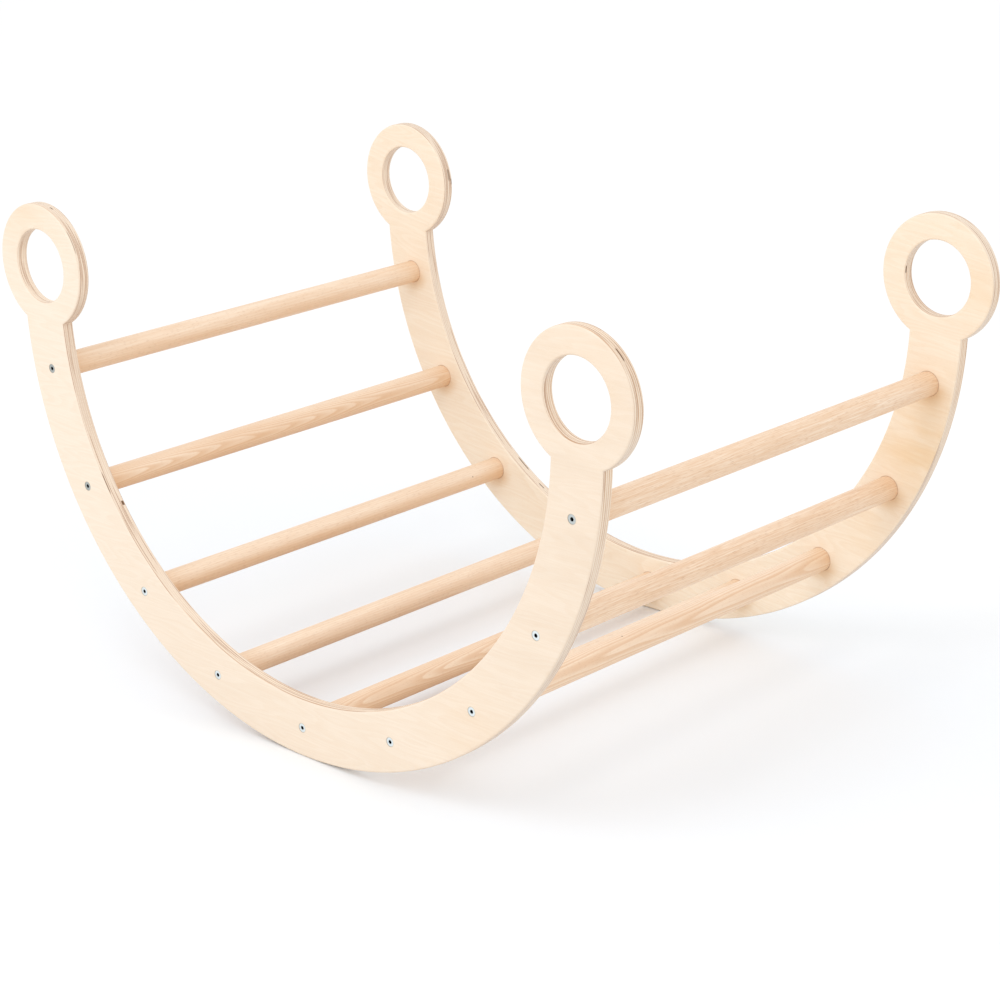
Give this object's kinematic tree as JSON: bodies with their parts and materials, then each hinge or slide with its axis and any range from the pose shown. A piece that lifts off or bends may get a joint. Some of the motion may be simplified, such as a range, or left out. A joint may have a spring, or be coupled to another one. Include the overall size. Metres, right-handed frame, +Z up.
{
  "type": "rocker arch",
  "caption": "Wooden climbing and rocking arch for small children: curved plywood side panels with ring handles, joined by round rungs that are screwed in through the panels.",
  "frame": {"origin": "on the floor, under the middle of the arch", "axes": "+X along the arch from one pair of ring handles to the other, +Y along the rungs from the front panel to the rear panel, +Z up"},
  "size_m": [0.968, 0.595, 0.559],
  "materials": {
    "birch_plywood": "satin",
    "beech": "satin",
    "zinc_screw": "satin"
  },
  "bodies": {
    "root": {"front_side_panel": "birch_plywood", "rear_side_panel": "birch_plywood", "rung_1": "beech", "rung_2": "beech", "rung_3": "beech", "rung_4": "beech", "rung_5": "beech", "rung_6": "beech", "rung_7": "beech", "rung_8": "beech", "rung_9": "beech", "rung_1_screws": "zinc_screw", "rung_2_screws": "zinc_screw", "rung_3_screws": "zinc_screw", "rung_4_screws": "zinc_screw", "rung_5_screws": "zinc_screw", "rung_6_screws": "zinc_screw", "rung_7_screws": "zinc_screw", "rung_8_screws": "zinc_screw", "rung_9_screws": "zinc_screw"}
  },
  "joints": []
}
